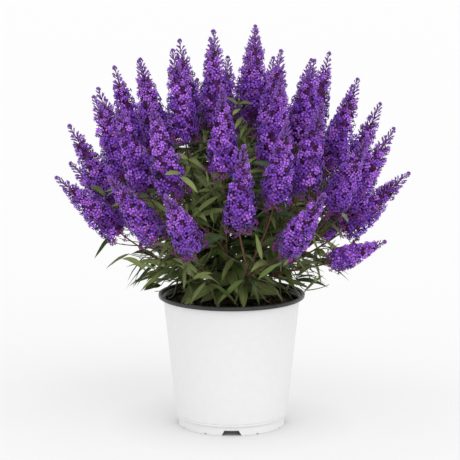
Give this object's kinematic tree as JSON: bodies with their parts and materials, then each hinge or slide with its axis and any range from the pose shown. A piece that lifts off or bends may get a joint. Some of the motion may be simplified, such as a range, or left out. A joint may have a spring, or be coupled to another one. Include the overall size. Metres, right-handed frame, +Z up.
{
  "type": "butterfly bush in a nursery pot",
  "caption": "Flowering shrub in a round tapered pot: stems fan from the soil into leafy masses with cone-shaped violet flower heads.",
  "frame": {"origin": "middle of the flat underside of the pot", "axes": "+Z up along the pot's axis, -Y towards the side that the picture shows, +X to that view's right"},
  "size_m": [0.559, 0.5449, 0.6435],
  "materials": {
    "pot_white": "satin white moulded plastic",
    "rim_dark": "satin black plastic, finely grooved",
    "potting_mix": "moist dark mix with bark flecks",
    "bark": "reddish brown stems, greyer and ribbed at the foot",
    "foliage": "matt grey-green leaves and violet florets"
  },
  "bodies": {
    "root": {"bough_inner_1": "bark", "bough_inner_2": "bark", "bough_inner_3": "bark", "bough_middle_1": "bark", "bough_middle_2": "bark", "bough_middle_3": "bark", "bough_middle_4": "bark", "bough_middle_5": "bark", "bough_middle_6": "bark", "bough_middle_7": "bark", "bough_outer_1": "bark", "bough_outer_2": "bark", "bough_outer_3": "bark", "bough_outer_4": "bark", "bough_outer_5": "bark", "bough_outer_6": "bark", "bough_outer_7": "bark", "bough_outer_8": "bark", "bough_outer_9": "bark", "mass_inner_1": "foliage", "mass_inner_2": "foliage", "mass_inner_3": "foliage", "mass_middle_1": "foliage", "mass_middle_2": "foliage", "mass_middle_3": "foliage", "mass_middle_4": "foliage", "mass_middle_5": "foliage", "mass_middle_6": "foliage", "mass_middle_7": "foliage", "mass_outer_1": "foliage", "mass_outer_2": "foliage", "mass_outer_3": "foliage", "mass_outer_4": "foliage", "mass_outer_5": "foliage", "mass_outer_6": "foliage", "mass_outer_7": "foliage", "mass_outer_8": "foliage", "mass_outer_9": "foliage", "pot_body": "pot_white", "pot_rim": "rim_dark", "potting_mix": "potting_mix", "root_crown": "bark"}
  },
  "joints": []
}
